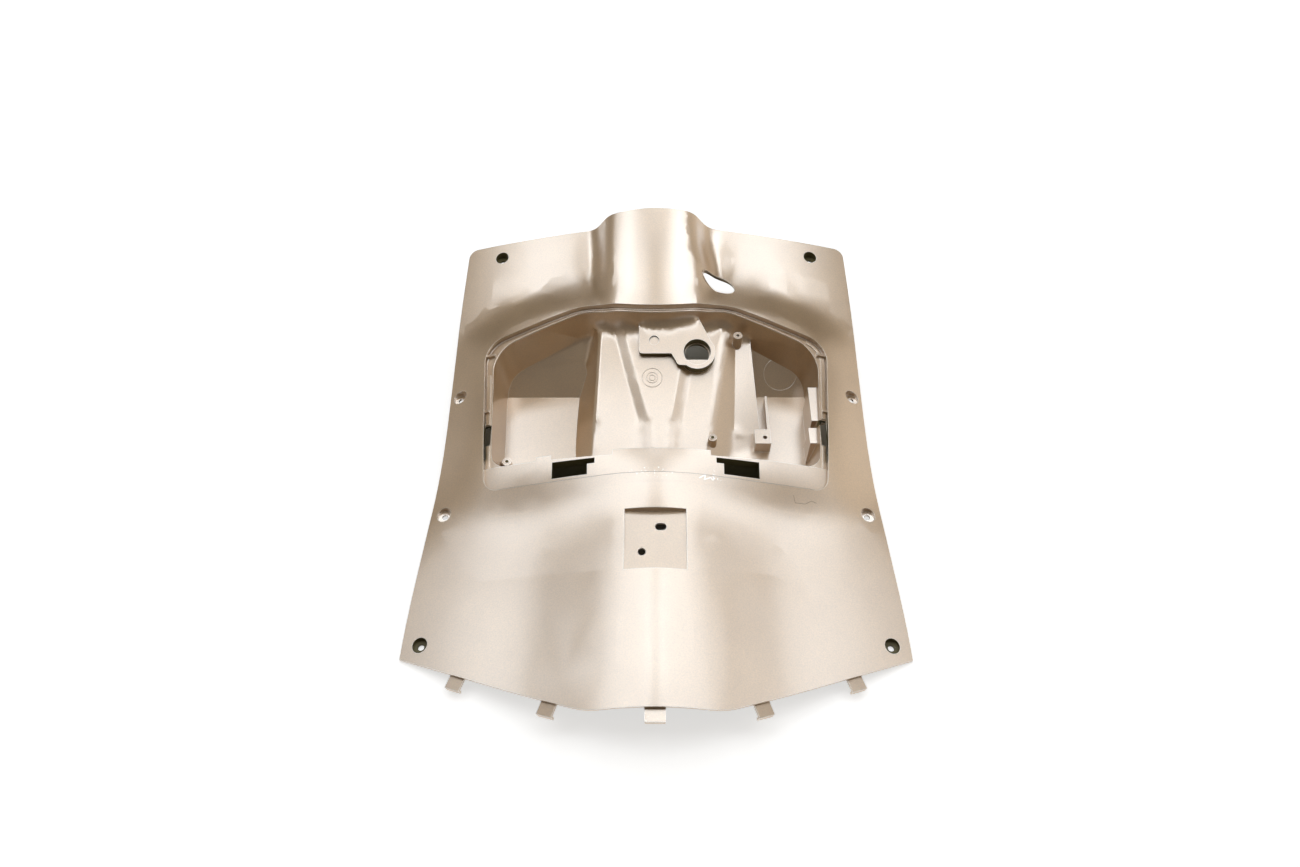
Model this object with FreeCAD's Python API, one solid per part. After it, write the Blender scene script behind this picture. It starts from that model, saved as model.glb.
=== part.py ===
"""Inner leg shield of a small scooter, with its glovebox, moulded in one piece.

Millimetres. The shield lies on its back as on a bench: X across, Y towards the steering
column, Z up to the rider's side. The model is built about the foot of its two bottom
corners (Y = 0) and is moved at the end so that its origin is the middle of its footprint.
"""

import FreeCAD, Part
import math
import os

V = FreeCAD.Vector

# Walls and general clearances
WALL = 2.4
RIB = 1.8
SINK = 1.0

# Outline of the shield in plan: half widths at stations along Y
HALF_WIDTHS = [(-60, 201.0), (0, 196.6), (60, 192.6), (110, 187.4), (160, 183.2), (225, 182.0),
               (325, 180.2), (400, 177.0)]
WING_CORNER_Y = 384.0
WING_CORNER_R = 9.0
WING_INNER_X = 62.0
WING_INNER_Y = 393.0
FRONT_KNEE_X = 49.0
FRONT_Y = -51.0
FRONT_KNEE_R = 60.0

# Heights of the skin: the side edge, the rise to the middle, and how the rise is shared out
SIDE_Z = 2.4
SIDE_SLOPE = 0.09
SIDE_CURL = 0.00016
RISES = [(-60, 51.5), (60, 51.0), (125, 48.0), (200, 36.0), (250, 26.0), (300, 19.0), (400, 16.0)]
RIDGE_SHARES = [(0, 0), (0.235, 0.22), (0.49, 0.45), (0.673, 0.68), (0.816, 0.877), (0.9, 0.96), (1, 1)]
WING_POWER = 2.2
RIDGE_ENDS_Y = 60.0
WINGS_START_Y = 200.0

# Shoulder round the glovebox opening
SHOULDER_HEIGHTS = [(120, 0.0), (150, 6.0), (250, 6.5), (300, 9.0)]
SHOULDER_X = 147.0
SHOULDER_WIDTH = 28.0
SHOULDER_END_Y = 302.0
SHOULDER_BOW = 0.0016
SHOULDER_SPREAD = 50.0

# Collar round the steering column
COLLAR_Z = 79.0
COLLAR_Y = 300.0
COLLAR_SLOPE = 0.29
COLLAR_CROWN_R = 107.0
COLLAR_FLANK_X = 38.0
COLLAR_FLANK = 0.04
COLLAR_BLEND = 10.0
SCOOP_DEPTH = 9.0
SCOOP_Y = 366.0
SCOOP_LENGTH = 34.0

# Glovebox opening: corner points (x, y, corner radius) of its right half
LIP_Y = 130.0
OPENING_HALF = [(140.7, LIP_Y, 12.0), (152.5, 272.6, 24.0), (61.0, 307.0, 60.0)]
OPENING_TOP = (0.0, 295.5, 120.0)
REBATE_DEPTH = 5.5
RIM_WALL = 2.0

# Lid seat along the lower edge of the opening, with its two hinge cut-outs
SEAT_DEPTH = 2.5
SEAT_Y = 149.5
SEAT_TABS = [(-34.7, 44.5, 2.8), (-97.7, -85.0, 3.2)]
HINGE_NEAR_Y = 133.5
HINGE_FAR_Y = 146.5
HINGE_WALL_DEPTH = 9.0
HINGE_OUTER_X = 84.0
HINGE_INNER_X = 55.0
HINGE_STEP = 6.0
HINGE_STEP_Y = 142.0

# Glovebox tub: plan corners (x, y, corner radius) of its inside at the top, drafted to the floor
TUB_TOP_Z = 80.0
FLOOR_Z = 2.4
TUB_TOP = [(142.0, 145.5, 20.0), (149.5, 271.5, 34.0), (62.0, 305.0, 40.0)]
TUB_TOP_MID = (0.0, 293.5, 100.0)
TUB_DRAFT = 0.14
BACK_Y = 252.0
BACK_ANGLE = 37.0

# Column tunnel that rises through the tub
TUNNEL_Z = 48.0
TUNNEL_Y = 288.0
TUNNEL_ANGLE = 17.0
TUNNEL_NEAR_Y = 140.0
TUNNEL_BEND_Y = 205.0
TUNNEL_SWELL = 3.0
TUNNEL_DIP = 1.2
TUNNEL_FAR_Y = 312.0

# Lock bracket on the tunnel: a plate with a boss for the ignition lock
BRACKET_Y = 291.0
BRACKET_Z = 58.5
BRACKET_ANGLE = 18.0
BRACKET_THICK = 4.0
BRACKET_LEFT_X = -15.0
BRACKET_LENGTH = 27.0
LOCK_X = 37.0
LOCK_V = -25.5
LOCK_R = 12.1
LOCK_WALL = 4.0
LOCK_DEPTH = 9.0
LOCK_SEAT = 1.2
LOCK_FLAT_V = -4.0
PILOT_X = -1.4
PILOT_V = -14.3
PILOT_R = 4.4

# Screw places: x and y of the right hand one of each pair, depth to the screw's seat
SCREW_SEAT_R = 6.0
SCREW_HOLE_R = 2.5
CUP_WALL = 2.0
SCREW_PAIRS = [(181.4, 9.8, 4.6), (174.8, 117.8, 4.5), (172.1, 227.4, 5.0), (145.4, 371.5, 6.0)]

# Hooks under the front edge: x, width
HOOK_PLACES = [(0.0, 15.0), (77.0, 12.0), (149.0, 12.0)]
HOOK_REACH = 9.5
HOOK_ROOT = 9.0
HOOK_THICK = 2.0
HOOK_TURN = 5.0
HOOK_DROP = 1.2

# Stiffening on the hidden side
EDGE_RIB_INSET = 3.0
EDGE_RIB_DEPTH = 6.0
GUSSET_Y = [204.0, 262.0]
GUSSET_X = (139.5, 163.0)

# Square seat for the bag hook
HOOK_SEAT = 48.0
HOOK_SEAT_NEAR_Y = 50.5
HOOK_SEAT_FAR_Y = 100.3
HOOK_SEAT_Z = 54.3
HOOK_SEAT_RISE = 0.035
HOOK_SEAT_HOLES = [(4.2, 86.8, 3.0, 1.4), (-10.3, 65.6, 3.0, 0.0)]

# Key hole beside the collar
KEY_X = 57.5
KEY_Y = 331.5
KEY_LONG = 15.5
KEY_SHORT = 9.0
KEY_TURN = -27.0

# Small features of the tub: posts (x, y, top, radius), clip lug, clip blocks and slots
POSTS = [(74.0, 284.7, 52.0, 4.1), (49.3, 191.6, 25.0, 3.8), (-129.2, 174.6, 13.0, 4.0)]
POST_BORE_R = 1.4
LUG = (87.0, 101.0, 191.5, 206.5, 16.0)
LUG_HOLE = (96.0, 198.0, 1.8)
LUG_RIB = (98.4, 100.4, 205.0, 243.0, 16.0)
CLIP_BLOCKS = [(134.0, 150.0, 200.0, 236.0, 38.0), (131.5, 150.0, 180.0, 196.0, 33.0)]
SLOTS = [(-145.4, -139.6, 160.0, 191.5), (139.6, 145.0, 165.0, 197.0)]


def lerp(t, a, b):
    """Straight line between (t, value) pairs a and b."""
    return a[1] + (b[1] - a[1]) * (t - a[0]) / (b[0] - a[0])


def smooth(t):
    """Ease from 0 to 1 with level ends."""
    t = min(max(t, 0.0), 1.0)
    return t * t * (3 - 2 * t)


def along(stations, t):
    """Smooth curve through (position, value) stations, straight beyond its ends."""
    last = len(stations) - 1
    slopes = []
    for i in range(last + 1):
        (a, va), (b, vb) = stations[max(i - 1, 0)], stations[min(i + 1, last)]
        slopes.append((vb - va) / (b - a))
    if t <= stations[0][0]:
        return stations[0][1] + slopes[0] * (t - stations[0][0])
    for i in range(last):
        (a, va), (b, vb) = stations[i], stations[i + 1]
        if t <= b:
            h = b - a
            s = (t - a) / h
            ends = (1 + 2 * s) * (1 - s) ** 2 * va + s * s * (3 - 2 * s) * vb
            return ends + s * (1 - s) ** 2 * h * slopes[i] + s * s * (s - 1) * h * slopes[i + 1]
    return stations[last][1] + slopes[last] * (t - stations[last][0])


def skin_z(x, y):
    """Height of the painted face over the plan."""
    a = abs(x)
    side = SIDE_Z + SIDE_SLOPE * y + SIDE_CURL * y * y
    inward = 1 - a / along(HALF_WIDTHS, y)
    ridge = along(RIDGE_SHARES, inward)
    wing = 1 - (1 - inward) ** WING_POWER
    share = smooth((y - RIDGE_ENDS_Y) / (WINGS_START_Y - RIDGE_ENDS_Y))
    z = side + along(RISES, y) * (ridge * (1 - share) + wing * share)
    beside = 1 - smooth((a - SHOULDER_X) / SHOULDER_WIDTH)
    beyond = 1 - smooth((y - SHOULDER_END_Y + SHOULDER_BOW * a * a) / SHOULDER_SPREAD)
    z += along(SHOULDER_HEIGHTS, min(max(y, 120), 300)) * beside * beyond
    return z if y < 150 else with_collar(x, y, z)


def with_collar(x, y, z):
    """Blend the collar's arch over the wings with a round fillet."""
    scoop = SCOOP_DEPTH * smooth(1 - abs(y - SCOOP_Y) / SCOOP_LENGTH) if x > 0 else 0.0
    a = abs(x)
    flank = max(a - COLLAR_FLANK_X + scoop, 0.0)
    arch = COLLAR_Z + COLLAR_SLOPE * (y - COLLAR_Y) - a * a / (2 * COLLAR_CROWN_R) - COLLAR_FLANK * flank ** 2
    arch -= 40 * (1 - smooth((y - 170) / 60))
    gap = abs(arch - z)
    fillet = (COLLAR_BLEND - gap) ** 2 / (4 * COLLAR_BLEND) if gap < COLLAR_BLEND else 0.0
    return max(arch, z) + fillet


def skin_point(x, y, depth):
    """Point a given depth below the painted face, square to it."""
    step = 0.5
    dzx = (skin_z(x + step, y) - skin_z(x - step, y)) / (2 * step)
    dzy = (skin_z(x, y + step) - skin_z(x, y - step)) / (2 * step)
    n = V(-dzx, -dzy, 1).normalize()
    return V(x, y, skin_z(x, y)) - n * depth


HALF_NET = [14, 28, 38, 46, 55, 68, 92, 120, 140, 156, 176, 212]
NET_X = [-x for x in reversed(HALF_NET)] + [0] + HALF_NET
NET_Y = [-75, -20, 40, 80, 110, 140, 175, 215, 250, 275, 298, 320, 345, 370, 412]
SKIN_PATCHES = [(-230, 230, -80, 122), (-130, 130, 122, 270), (-230, -130, 122, 270), (130, 230, 122, 270),
                (-230, -66, 270, 420), (-66, -33, 270, 420), (-33, 33, 270, 420), (33, 66, 270, 420),
                (66, 230, 270, 420)]


def curve_at(points, stations):
    """Cubic spline through points, with the stations as its parameters."""
    curve = Part.BSplineCurve()
    curve.interpolate(Points=points, Parameters=stations)
    return curve


def two_way_spline(rows, across, lengthwise):
    """Surface through a net of points, splined one way and then the other."""
    first = [curve_at(row, lengthwise) for row in rows]
    second = [curve_at(list(column), across) for column in zip(*[c.getPoles() for c in first])]
    poles = [list(row) for row in zip(*[c.getPoles() for c in second])]
    u, v = second[0], first[0]
    surface = Part.BSplineSurface()
    surface.buildFromPolesMultsKnots(poles, u.getMultiplicities(), v.getMultiplicities(),
                                     u.getKnots(), v.getKnots(), False, False, 3, 3)
    surface.exchangeUV()
    return surface


def below_skin(depth):
    """Everything under the surface that lies that deep under the painted face."""
    rows = [[skin_point(x, y, depth) for y in NET_Y] for x in NET_X]
    return two_way_spline(rows, NET_X, NET_Y).toShape().extrude(V(0, 0, -200))


def bend(before, corner, after, radius):
    """Start, middle and end of the tangent arc that rounds a corner."""
    u = (before - corner).normalize()
    w = (after - corner).normalize()
    half = u.getAngle(w) / 2
    reach = radius / math.tan(half)
    middle = corner + (u + w).normalize() * (radius / math.sin(half) - radius)
    return corner + u * reach, middle, corner + w * reach


def rounded(corners):
    """Closed wire through (x, y, radius) corners, straight with tangent arcs."""
    points = [V(x, y, 0) for x, y, r in corners]
    last = len(points) - 1
    ends = []
    for i, (x, y, r) in enumerate(corners):
        ends.append(bend(points[i - 1], points[i], points[i + 1 if i < last else 0], r))
    edges = []
    for i, (start, middle, finish) in enumerate(ends):
        if (finish - start).Length > 1e-6:
            edges.append(Part.Arc(start, middle, finish).toShape())
        following = ends[(i + 1) % len(ends)][0]
        if (following - finish).Length > 1e-6:
            edges.append(Part.LineSegment(finish, following).toShape())
    return Part.Wire(edges)


def mirrored(right_half, middle=None):
    """Corners of a whole outline from its right half, listed from the foot upwards."""
    left = [(-x, y, r) for x, y, r in reversed(right_half)]
    return right_half + ([middle] if middle else []) + left


def prism(wire, low=-50.0, high=150.0):
    """Upright solid over a plan outline."""
    face = Part.Face(wire)
    face.translate(V(0, 0, low))
    return face.extrude(V(0, 0, high - low))


def box(x0, x1, y0, y1, z0=-50.0, z1=150.0):
    """Block between two corners, tall unless told otherwise."""
    return Part.makeBox(x1 - x0, y1 - y0, z1 - z0, V(x0, y0, z0))


def rod(x, y, radius, z0=-50.0, z1=150.0):
    """Upright cylinder."""
    return Part.makeCylinder(radius, z1 - z0, V(x, y, z0))


def slot(x, y, radius, stretch):
    """Upright prism of a hole that is stretched sideways, or a round one."""
    if not stretch:
        return rod(x, y, radius)
    x0, x1 = x - stretch - radius, x + stretch + radius
    corners = [(x0, y - radius), (x1, y - radius), (x1, y + radius), (x0, y + radius)]
    return prism(rounded([(a, b, radius) for a, b in corners]))


def eight_sided(x, y, half_width, z0, z1=150.0):
    """Upright eight-sided prism, measured across its flats."""
    reach = half_width / math.cos(math.pi / 8)
    turns = [math.pi * (2 * i + 1) / 8 for i in range(8)]
    corners = [V(x + reach * math.cos(t), y + reach * math.sin(t), z0) for t in turns]
    return Part.Face(Part.makePolygon(corners + corners[:1])).extrude(V(0, 0, z1 - z0))


def tilted_slab(y, z, angle, thickness):
    """Slab over the whole width whose top rises with Y at the given angle."""
    rise = math.tan(math.radians(angle))
    top = [V(-120, y + d, z + d * rise) for d in (-80, 80)]
    corners = [top[0], top[1], top[1] - V(0, 0, thickness), top[0] - V(0, 0, thickness), top[0]]
    return Part.Face(Part.makePolygon(corners)).extrude(V(240, 0, 0))


def outline():
    """Plan of the shield: front edge, waisted sides, wings and the collar's end."""
    top_x = along(HALF_WIDTHS, WING_CORNER_Y)
    stations = [0.0, 60.0, 120.0, 180.0, 250.0, 320.0, WING_CORNER_Y - WING_CORNER_R]
    edges = []
    for sign in (1, -1):
        side = side_curve(sign, 0.0, stations)
        foot, start = [v.Point for v in side.Vertexes]
        corner = V(sign * (top_x - 2.2), WING_CORNER_Y - 2.2, 0)
        finish = V(sign * (top_x - WING_CORNER_R), WING_CORNER_Y + 0.6, 0)
        inner = V(sign * WING_INNER_X, WING_INNER_Y, 0)
        knee = V(sign * FRONT_KNEE_X, FRONT_Y, 0)
        low, round_knee, level = bend(foot, knee, V(0, FRONT_Y, 0), FRONT_KNEE_R)
        edges += [side, Part.Arc(start, corner, finish).toShape(), Part.Arc(low, round_knee, level).toShape()]
        for a, b in ((finish, inner), (inner, V(0, WING_INNER_Y, 0)), (foot, low), (level, V(0, FRONT_Y, 0))):
            edges.append(Part.LineSegment(a, b).toShape())
    return Part.Wire(Part.__sortEdges__(edges))


def panel():
    """The skin itself, trimmed to the outline, with a seam where its curvature changes."""
    skin = prism(outline()).common(below_skin(0.0)).cut(below_skin(WALL))
    skin = skin.cut(prism(opening()))
    parts = [skin.common(box(*patch)) for patch in SKIN_PATCHES]
    return parts[0].multiFuse(parts[1:])


def opening(grow=0.0):
    """Edge of the glovebox opening in plan, or the outside of its rim."""
    wire = rounded(mirrored(OPENING_HALF, OPENING_TOP))
    return wire.makeOffset2D(grow) if grow else wire


def rebate():
    """Space over the lid's ledge and over its seat along the lower edge."""
    above_ledge = box(-200, 200, SEAT_Y, 330).cut(below_skin(REBATE_DEPTH))
    above_seat = box(-200, 200, LIP_Y - 10, SEAT_Y).cut(below_skin(SEAT_DEPTH))
    return above_ledge, above_seat


def rim():
    """Rim wall, ledge and lid seat as one plate across the opening, still without the tub."""
    plate = prism(opening(RIM_WALL)).common(below_skin(SINK)).cut(below_skin(REBATE_DEPTH + WALL))
    seat = box(-200, 200, LIP_Y - 10, SEAT_Y - WALL)
    plate = plate.cut(seat.common(prism(opening())).common(below_skin(SEAT_DEPTH + WALL)))
    for space in rebate():
        plate = plate.cut(space.common(prism(opening())))
    return plate


def tub_shape(grow):
    """Drafted inside of the tub, or its outside when grown by the wall."""
    top = rounded(mirrored(TUB_TOP, TUB_TOP_MID))
    depth = TUB_TOP_Z - FLOOR_Z + grow
    floor = top.makeOffset2D(grow - TUB_DRAFT * depth)
    top = top.makeOffset2D(grow) if grow else top
    top.translate(V(0, 0, TUB_TOP_Z))
    floor.translate(V(0, 0, FLOOR_Z - grow))
    return Part.makeLoft([floor, top], True, True)


def back_wedge(drop):
    """What lies behind the sloped back of the side pockets."""
    rise = math.tan(math.radians(BACK_ANGLE))
    low = FLOOR_Z - drop / math.cos(math.radians(BACK_ANGLE))
    run = 70.0
    near = BACK_Y - 60.0
    corners = [V(-170, near, low - 60 * rise), V(-170, BACK_Y + run, low + run * rise),
               V(-170, BACK_Y + run, -90), V(-170, near, -90)]
    return Part.Face(Part.makePolygon(corners + corners[:1])).extrude(V(340, 0, 0))


def tunnel_section(y, drop):
    """Cross section of the column tunnel, lowered and narrowed by a wall's thickness."""
    angle = math.radians(TUNNEL_ANGLE)
    roof = TUNNEL_Z + math.tan(angle) * (y - TUNNEL_Y) - drop / math.cos(angle)
    low = -60.0
    foot = lerp(y, (183, -78.2), (253, -73.8)) + 1.2 * drop
    crest = lerp(y, (150, -57.0), (300, -51.0)) + 0.6 * drop
    step_left = lerp(max(y, TUNNEL_BEND_Y), (TUNNEL_BEND_Y, -10.0), (283, -31.5))
    step_right = lerp(max(y, TUNNEL_BEND_Y), (TUNNEL_BEND_Y, 18.0), (300, 34.0))
    shoulder = lerp(y, (190, 50.0), (290, 66.0)) - 0.4 * drop
    edge = lerp(y, (205, 93.0), (290, 86.0)) - drop
    edge_z = lerp(y, (205, 8.0), (290, 41.0)) - drop
    left = [(low, foot), (FLOOR_Z - 6.0, foot), (roof - 2.5, crest - 0.8), (roof - 0.5, crest + 2.2)]
    middle = [(roof - TUNNEL_DIP, step_left - 4), (roof + TUNNEL_SWELL, step_left + 5),
              (roof + TUNNEL_SWELL, step_right - 5), (roof - TUNNEL_DIP, step_right + 4)]
    right = [(roof - 0.7, shoulder - 5), (roof - 3.5, shoulder + 1),
             (0.6 * edge_z + 0.4 * roof - 4.0, (shoulder + edge) / 2 - 3), (edge_z, edge), (low, edge)]
    points = [V(x, y, z) for z, x in left + middle + right]
    return Part.makePolygon(points + points[:1])


def tunnel(drop):
    """Outside of the column tunnel, or its inside when lowered by the wall."""
    stations = [TUNNEL_NEAR_Y, TUNNEL_BEND_Y, TUNNEL_FAR_Y]
    return Part.makeLoft([tunnel_section(y, drop) for y in stations], True, True)


def lock_frame(shape):
    """Place a shape drawn about the bracket's hinge line at its slope and height."""
    shape.rotate(V(0, 0, 0), V(1, 0, 0), BRACKET_ANGLE)
    shape.translate(V(0, BRACKET_Y, BRACKET_Z))
    return shape


def bracket():
    """Plate for the lock with its round boss, down to the tunnel."""
    corners = [(BRACKET_LEFT_X, -BRACKET_LENGTH, 3.0), (14.0, -BRACKET_LENGTH, 1.0), (20.0, -38.0, 4.0),
               (46.0, -38.5, 6.0), (54.0, -26.0, 6.0), (48.0, -12.0, 3.0), (36.0, 12.0, 0.5),
               (BRACKET_LEFT_X, 12.0, 0.5)]
    plate = prism(rounded(corners), -BRACKET_THICK, 0.0)
    boss = Part.makeCylinder(LOCK_R + LOCK_WALL, 40, V(LOCK_X, LOCK_V, -40))
    return lock_frame(plate.fuse(boss))


def lock_bore():
    """Bore for the ignition lock: a round seat, open below within its ledge and beyond its flat."""
    bore = Part.makeCylinder(LOCK_R, LOCK_DEPTH + 5, V(LOCK_X, LOCK_V, -LOCK_DEPTH))
    beyond = Part.makeCylinder(LOCK_R - LOCK_SEAT, 40, V(LOCK_X, LOCK_V, -40))
    beyond = beyond.common(box(0, 80, LOCK_V + LOCK_FLAT_V, 20, -45, 5))
    pilot = Part.makeCylinder(PILOT_R, 2 * BRACKET_THICK, V(PILOT_X, PILOT_V, -1.5 * BRACKET_THICK))
    return lock_frame(bore.fuse(beyond).fuse(pilot))


def tub_features():
    """What stands in the tub: bracket, posts, clip lug with its rib, and clip blocks."""
    pieces = [bracket()]
    pieces += [rod(x, y, r, -20, top) for x, y, top, r in POSTS]
    pieces += [box(*(sides[:4] + (-20.0, sides[4]))) for sides in [LUG, LUG_RIB] + CLIP_BLOCKS]
    return pieces


def tub_cuts():
    """Bores of the lock seat, the posts and the lug."""
    pieces = [lock_bore()]
    x, y, top, r = POSTS[0]
    pieces.append(rod(x, y, POST_BORE_R, top - 8, top + 5))
    pieces.append(rod(LUG_HOLE[0], LUG_HOLE[1], LUG_HOLE[2], LUG[4] - 10, LUG[4] + 5))
    return pieces


def tub():
    """Ledge with the tub's drafted shell, open below the tunnel and the sloped back."""
    outside = tub_shape(WALL).cut(back_wedge(WALL)).cut(tunnel(WALL))
    inside = tub_shape(0.0).cut(back_wedge(0.0)).cut(tunnel(0.0))
    shell = outside.cut(inside.cut(tub_features()[0]).cut(Part.Compound(tub_features()[1:])))
    for space in rebate():
        shell = shell.cut(space)
    shell = shell.common(prism(opening(RIM_WALL)))
    body = rim().cut(inside).fuse(shell)
    body = body.cut(Part.Compound(tub_cuts()))
    return hinges(body.fuse(seat_tabs())).removeSplitter()


def seat_tabs():
    """Short tabs that carry the lid seat past the edge of the tub."""
    plate = below_skin(SEAT_DEPTH).cut(below_skin(SEAT_DEPTH + WALL))
    return [plate.common(box(x0, x1, SEAT_Y - 6, SEAT_Y + reach)) for x0, x1, reach in SEAT_TABS]


def hinge_openings(grow=0.0):
    """The two stepped cut-outs through the lid seat, or the outside of their walls."""
    pieces = []
    for sign in (-1, 1):
        main = sorted((sign * (HINGE_OUTER_X + grow), sign * (HINGE_INNER_X - grow)))
        step = sorted((sign * (HINGE_INNER_X + 1), sign * (HINGE_INNER_X - HINGE_STEP - grow)))
        pieces.append(box(main[0], main[1], HINGE_NEAR_Y - grow, HINGE_FAR_Y + grow))
        pieces.append(box(step[0], step[1], HINGE_STEP_Y - grow, HINGE_FAR_Y + grow))
    return pieces


def hinges(body):
    """Open the hinge cut-outs, each with a short wall round it on the hidden side."""
    walls = below_skin(SEAT_DEPTH + 0.5).cut(below_skin(SEAT_DEPTH + HINGE_WALL_DEPTH))
    for piece in hinge_openings(RIB):
        body = body.fuse(walls.common(piece))
    for piece in hinge_openings() + [box(*sides, 20.0, 80.0) for sides in SLOTS]:
        body = body.cut(piece)
    return body


def screw_places():
    """Seat height of every screw place, with its plan position."""
    places = []
    for x, y, depth in SCREW_PAIRS:
        places += [(s * x, y, skin_z(x, y) - depth) for s in (-1, 1)]
    return places


def screw_bosses(body):
    """Sunk seats for the screws, as cups hanging under the skin."""
    cups = [eight_sided(x, y, SCREW_SEAT_R + CUP_WALL, z - WALL) for x, y, z in screw_places()]
    body = body.fuse(Part.Compound(cups).common(below_skin(SINK)).Solids)
    sinks = [rod(x, y, SCREW_SEAT_R, z, 150) for x, y, z in screw_places()]
    holes = [rod(x, y, SCREW_HOLE_R, z - 20, z + 5) for x, y, z in screw_places()]
    return body.cut(Part.Compound(sinks)).cut(Part.Compound(holes))


def front_hook(x, width, sign):
    """Tongue under the front edge with its tip turned down."""
    knee, foot = V(FRONT_KNEE_X, FRONT_Y, 0), V(along(HALF_WIDTHS, 0), 0, 0)
    across = V(1, 0, 0) if x < FRONT_KNEE_X else (foot - knee).normalize()
    middle = V(x, FRONT_Y, 0) if x < FRONT_KNEE_X else knee + across * ((x - FRONT_KNEE_X) / across.x)
    ends = [middle - across * width / 2, middle + across * width / 2]
    a, b = [V(e.x, e.y, skin_z(e.x, e.y) - WALL) for e in ends]
    out = V(across.y, -across.x, 0)
    up = (b - a).cross(out).normalize() * -1
    profile = [(-HOOK_ROOT, 1.0), (-1.0, 1.0), (-1.0, -HOOK_DROP), (HOOK_REACH, -HOOK_DROP),
               (HOOK_REACH, -HOOK_DROP - HOOK_TURN), (HOOK_REACH - HOOK_THICK, -HOOK_DROP - HOOK_TURN),
               (HOOK_REACH - HOOK_THICK, -HOOK_DROP - HOOK_THICK), (-HOOK_ROOT, -HOOK_DROP - HOOK_THICK)]
    corners = [a + out * o + up * h for o, h in profile]
    hook = Part.Face(Part.makePolygon(corners + corners[:1])).extrude(b - a)
    return hook if sign > 0 else hook.mirror(V(0, 0, 0), V(1, 0, 0))


def front_hooks():
    """All hooks, the outer ones in pairs."""
    hooks = []
    for x, width in HOOK_PLACES:
        hooks += [front_hook(x, width, s) for s in ((1, -1) if x else (1,))]
    return hooks


def hook_seat(body):
    """Square sunk seat for the bag hook on the lower ridge."""
    half = HOOK_SEAT / 2
    near, far = HOOK_SEAT_NEAR_Y, HOOK_SEAT_FAR_Y
    angle = math.degrees(math.atan(HOOK_SEAT_RISE))
    floor = tilted_slab(near, HOOK_SEAT_Z, angle, 60.0)
    under = tilted_slab(near, HOOK_SEAT_Z - WALL, angle, 120.0)
    cup = box(-half - RIB, half + RIB, near - RIB, far + RIB).common(below_skin(SINK)).cut(under)
    body = body.fuse(cup).cut(box(-half, half, near, far, 30, 100).cut(floor))
    return body.cut(Part.Compound([slot(*hole) for hole in HOOK_SEAT_HOLES]))


def key_hole():
    """Upright elliptic prism of the key hole."""
    edge = Part.Ellipse(V(0, 0, 0), KEY_LONG, KEY_SHORT).toShape()
    solid = prism(Part.Wire([edge]))
    solid.rotate(V(0, 0, 0), V(0, 0, 1), KEY_TURN)
    solid.translate(V(KEY_X, KEY_Y, 0))
    return solid


def side_curve(sign, inset, stations):
    """Line along a side edge, moved inwards from it."""
    curve = Part.BSplineCurve()
    curve.interpolate([V(sign * (along(HALF_WIDTHS, y) - inset), y, 0) for y in stations])
    return curve.toShape()


def edge_ribs():
    """Thin rib under each side edge, cut off at the bench."""
    stations = [6.0, 60.0, 120.0, 180.0, 250.0, 320.0, 374.0]
    ribs = []
    for sign in (-1, 1):
        curves = [side_curve(sign, EDGE_RIB_INSET + more, stations) for more in (0.0, RIB)]
        tips = [[curve.Vertexes[i].Point for curve in curves] for i in (0, 1)]
        ends = [Part.LineSegment(*pair).toShape() for pair in tips]
        band = prism(Part.Wire(Part.__sortEdges__(curves + ends)), 0.0, 90.0)
        ribs.append(band.common(below_skin(SINK)).cut(below_skin(WALL + EDGE_RIB_DEPTH)))
    return ribs


def gussets():
    """Small webs between the tub's side walls and the side flanges."""
    under = below_skin(WALL - 0.3)
    webs = []
    for y in GUSSET_Y:
        for sign in (-1, 1):
            z = skin_z(150.0, y) - WALL
            inner, outer = [sign * x for x in GUSSET_X]
            corners = [V(inner, y, z + 4), V(outer, y, z + 4), V(outer, y, z - 8), V(inner, y, z - 22)]
            web = Part.Face(Part.makePolygon(corners + corners[:1])).extrude(V(0, RIB, 0))
            webs.append(web.common(under).cut(tub_shape(WALL - 0.4)))
    return webs


def leg_shield():
    """The whole moulding."""
    body = panel().fuse([tub()] + edge_ribs() + gussets() + front_hooks())
    body = hook_seat(screw_bosses(body))
    return body.cut(key_hole())


def stand_on_origin(shape):
    """Move a shape so that the middle of its footprint is the origin."""
    bounds = shape.optimalBoundingBox(False, False)
    shape.translate(V(-bounds.Center.x, -bounds.Center.y, -bounds.ZMin))
    return shape


shield = stand_on_origin(leg_shield())
os.makedirs("parts", exist_ok=True)
shield.exportStep("parts/leg_shield.step")
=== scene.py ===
"""Looks of a scooter's inner leg shield: metallic paint over moulded plastic, lying on its back.

All lengths are metres in the part's own frame: X across, Y towards the steering column, Z up.
Plan measures of the moulding are counted from the foot of its bottom corners, as on the drawing,
and the `Plan` class moves them into the frame.
"""

import logging
import math
from dataclasses import dataclass
from enum import Enum

import bmesh
import bpy
import numpy as np
from mathutils import Matrix, Vector
from mathutils.bvhtree import BVHTree

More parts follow.
